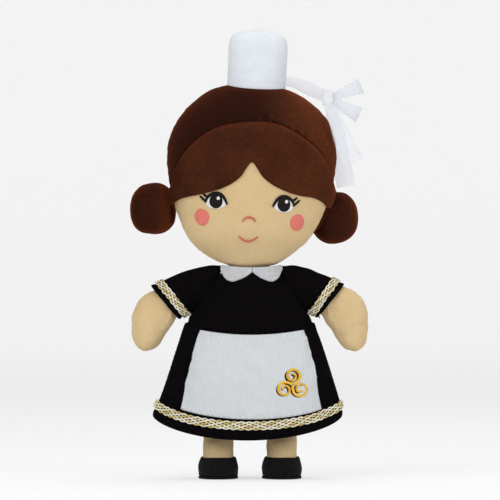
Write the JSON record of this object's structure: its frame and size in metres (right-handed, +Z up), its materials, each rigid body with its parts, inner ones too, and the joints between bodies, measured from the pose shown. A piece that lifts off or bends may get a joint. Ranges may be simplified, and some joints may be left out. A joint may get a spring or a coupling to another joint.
{
  "type": "rag doll",
  "caption": "Soft sewn rag doll with a tall cap, hair buns, ribbon bow, braid-trimmed dress and apron, hinged at its neck, shoulder and hip seams.",
  "frame": {"origin": "on the standing surface, below the middle of the doll", "axes": "+Z up along the standing doll, +X to the right as seen from the front, the face looks along -Y"},
  "size_m": [0.1424, 0.0596, 0.2683],
  "materials": {
    "skin": "soft cotton cloth",
    "hair": "brushed brown felt",
    "black": "matt black felt",
    "white": "white felt",
    "apron": "off-white felt",
    "gold": "woven braid with a satin thread",
    "blush": "satin stitch",
    "eye": "satin stitch",
    "eye_white": "satin stitch",
    "organza": "sheer starched ribbon",
    "stuffing": "loose polyester fibre",
    "ornament": "satin stitch",
    "slipper": "matt black felt"
  },
  "bodies": {
    "torso": {"body_stuffing": "stuffing", "bodice_front": "black", "bodice_back": "black", "skirt_front": "black", "skirt_back": "black", "collar_left": "white", "collar_right": "white", "hem_braid": "gold", "apron": "apron", "apron_triple_spiral": "ornament"},
    "neck": {"neck": "skin"},
    "head": {"head_stuffing": "stuffing", "face_panel": "skin", "crown_panel": "hair", "back_hair_panel": "hair", "fringe": "hair", "nose": "blush", "mouth": "blush", "cap": "white", "cap_stuffing": "stuffing", "ribbon_band": "organza", "ribbon_knot": "organza", "ribbon_loop_upper": "organza", "ribbon_loop_lower": "organza", "eye_white_left": "eye_white", "iris_left": "eye", "lashes_left": "eye", "cheek_left": "blush", "eye_white_right": "eye_white", "iris_right": "eye", "lashes_right": "eye", "cheek_right": "blush"},
    "ribbon_tail_front": {"ribbon_tail_front": "organza"},
    "ribbon_tail_rear": {"ribbon_tail_rear": "organza"},
    "bun_left": {"bun_left": "hair", "bun_stuffing_left": "stuffing"},
    "arm_left": {"sleeve_left": "black", "sleeve_braid_left": "gold", "arm_left": "skin", "arm_stuffing_left": "stuffing"},
    "leg_left": {"leg_left": "skin", "leg_stuffing_left": "stuffing", "slipper_left": "slipper", "sole_left": "slipper"},
    "bun_right": {"bun_right": "hair", "bun_stuffing_right": "stuffing"},
    "arm_right": {"sleeve_right": "black", "sleeve_braid_right": "gold", "arm_right": "skin", "arm_stuffing_right": "stuffing"},
    "leg_right": {"leg_right": "skin", "leg_stuffing_right": "stuffing", "slipper_right": "slipper", "sole_right": "slipper"}
  },
  "joints": [
    {"name": "neck_nod", "type": "hinge", "parent": "torso", "child": "neck", "pos_m": [-0.002, 0, 0.126], "axis": [1, 0, 0], "range_deg": [-15, 8], "stiffness_Nm_per_rad": 0.15},
    {"name": "neck_tilt", "type": "hinge", "parent": "neck", "child": "head", "pos_m": [-0.002, 0, 0.126], "axis": [0, 1, 0], "range_deg": [-8, 8], "stiffness_Nm_per_rad": 0.15},
    {"name": "shoulder_left", "type": "hinge", "parent": "torso", "child": "arm_left", "pos_m": [-0.0274, 0, 0.1115], "axis": [0.5188, 0, 0.8549], "range_deg": [-25, 25], "stiffness_Nm_per_rad": 0.02},
    {"name": "shoulder_right", "type": "hinge", "parent": "torso", "child": "arm_right", "pos_m": [0.0274, 0, 0.1115], "axis": [0.5188, 0, -0.8549], "range_deg": [-25, 25], "stiffness_Nm_per_rad": 0.02},
    {"name": "hip_left", "type": "hinge", "parent": "torso", "child": "leg_left", "pos_m": [-0.019, 0, 0.029], "axis": [-1, 0, 0], "range_deg": [-25, 25], "stiffness_Nm_per_rad": 0.2},
    {"name": "hip_right", "type": "hinge", "parent": "torso", "child": "leg_right", "pos_m": [0.019, 0, 0.029], "axis": [-1, 0, 0], "range_deg": [-25, 25], "stiffness_Nm_per_rad": 0.2},
    {"name": "bun_flop_left", "type": "hinge", "parent": "head", "child": "bun_left", "pos_m": [-0.04672, 0, 0.16109], "axis": [0.0523, 0, 0.9986], "range_deg": [-12, 12], "stiffness_Nm_per_rad": 0.01},
    {"name": "bun_flop_right", "type": "hinge", "parent": "head", "child": "bun_right", "pos_m": [0.04468, 0, 0.1568], "axis": [0.0523, 0, 0.9986], "range_deg": [-12, 12], "stiffness_Nm_per_rad": 0.01},
    {"name": "ribbon_swing_front", "type": "hinge", "parent": "head", "child": "ribbon_tail_front", "pos_m": [0.04688, 0, 0.22758], "axis": [0, -1, 0], "range_deg": [0, 45], "stiffness_Nm_per_rad": 0.001},
    {"name": "ribbon_swing_rear", "type": "hinge", "parent": "head", "child": "ribbon_tail_rear", "pos_m": [0.04688, 0, 0.22758], "axis": [0, -1, 0], "range_deg": [0, 45], "stiffness_Nm_per_rad": 0.001}
  ]
}
